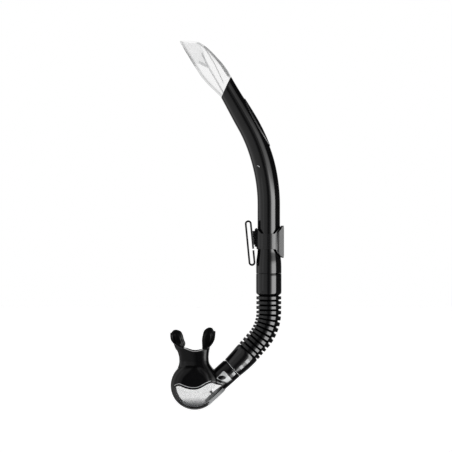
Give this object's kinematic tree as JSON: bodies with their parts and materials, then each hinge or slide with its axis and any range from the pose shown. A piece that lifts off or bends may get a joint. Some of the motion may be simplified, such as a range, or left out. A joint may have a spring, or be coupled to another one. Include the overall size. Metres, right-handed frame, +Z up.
{
  "type": "snorkel tube",
  "caption": "Breathing tube for face-down swimming: bent rigid barrel with clear splash guard, strap keeper, ribbed bending hose and swivelling purge-valve mouthpiece.",
  "frame": {"origin": "middle of the keeper's mask strap slot", "axes": "+Z up the straight lower barrel, +X from the slot towards the barrel and away from the bend, +Y along the mask strap through the slot"},
  "size_m": [0.1304, 0.034, 0.4234],
  "materials": {
    "black_gloss": "high gloss, injection moulded",
    "inlay_gloss": "gloss, slightly softer than the barrel",
    "clear_guard": "clear, polished",
    "clear_baffle": "clear, polished",
    "liner_grip": "satin",
    "keeper_black": "gloss",
    "coupling_black": "satin",
    "hose_rubber": "glossy silicone",
    "ring_plastic": "satin",
    "oring_rubber": "matte",
    "clear_chamber": "clear, polished",
    "frame_black": "satin gloss",
    "mouth_silicone": "satin silicone",
    "clear_window": "clear, polished",
    "badge_grey": "gloss, plain",
    "seat_plastic": "satin",
    "flap_silicone": "soft silicone",
    "cover_grey": "translucent grey"
  },
  "bodies": {
    "barrel": {"barrel": "black_gloss", "barrel_inlay": "inlay_gloss", "splash_guard": "clear_guard", "splash_baffle": "clear_baffle", "hose_coupling": "coupling_black", "hose": "hose_rubber"},
    "keeper_sleeve": {"keeper_liner": "liner_grip"},
    "keeper": {"keeper_collar": "keeper_black", "strap_loop": "keeper_black"},
    "hose_end": {"swivel_ring": "ring_plastic", "swivel_oring": "oring_rubber"},
    "mouth_unit": {"chamber": "clear_chamber", "chamber_frame": "frame_black", "mouthpiece": "mouth_silicone", "window_front": "clear_window", "window_rear": "clear_window", "badge_front": "badge_grey", "badge_rear": "badge_grey", "purge_seat": "seat_plastic", "purge_cover": "cover_grey"},
    "purge_flap": {"purge_diaphragm": "flap_silicone"}
  },
  "joints": [
    {"name": "keeper_slide", "type": "slide", "parent": "barrel", "child": "keeper_sleeve", "axis": [0, 0, 1], "range_m": [0, 0.02]},
    {"name": "keeper_turn", "type": "hinge", "parent": "keeper_sleeve", "child": "keeper", "pos_m": [0.0215, 0, -0.035], "axis": [0, 0, 1], "continuous": true},
    {"name": "hose_bend", "type": "hinge", "parent": "barrel", "child": "hose_end", "pos_m": [0.0183, 0, -0.0965], "axis": [0, 1, 0], "range_deg": [-30, 45], "stiffness_Nm_per_rad": 0.4, "springref_deg": 8.02, "deforming": ["hose"]},
    {"name": "mouthpiece_swivel", "type": "hinge", "parent": "hose_end", "child": "mouth_unit", "pos_m": [-0.01994, 0, -0.14295], "axis": [-0.7431, 0, -0.6691], "continuous": true},
    {"name": "purge_valve", "type": "slide", "parent": "mouth_unit", "child": "purge_flap", "axis": [0.6607, 0, -0.7507], "range_m": [0, 0.0014], "stiffness_N_per_m": 40, "springref_m": -0.0003}
  ]
}
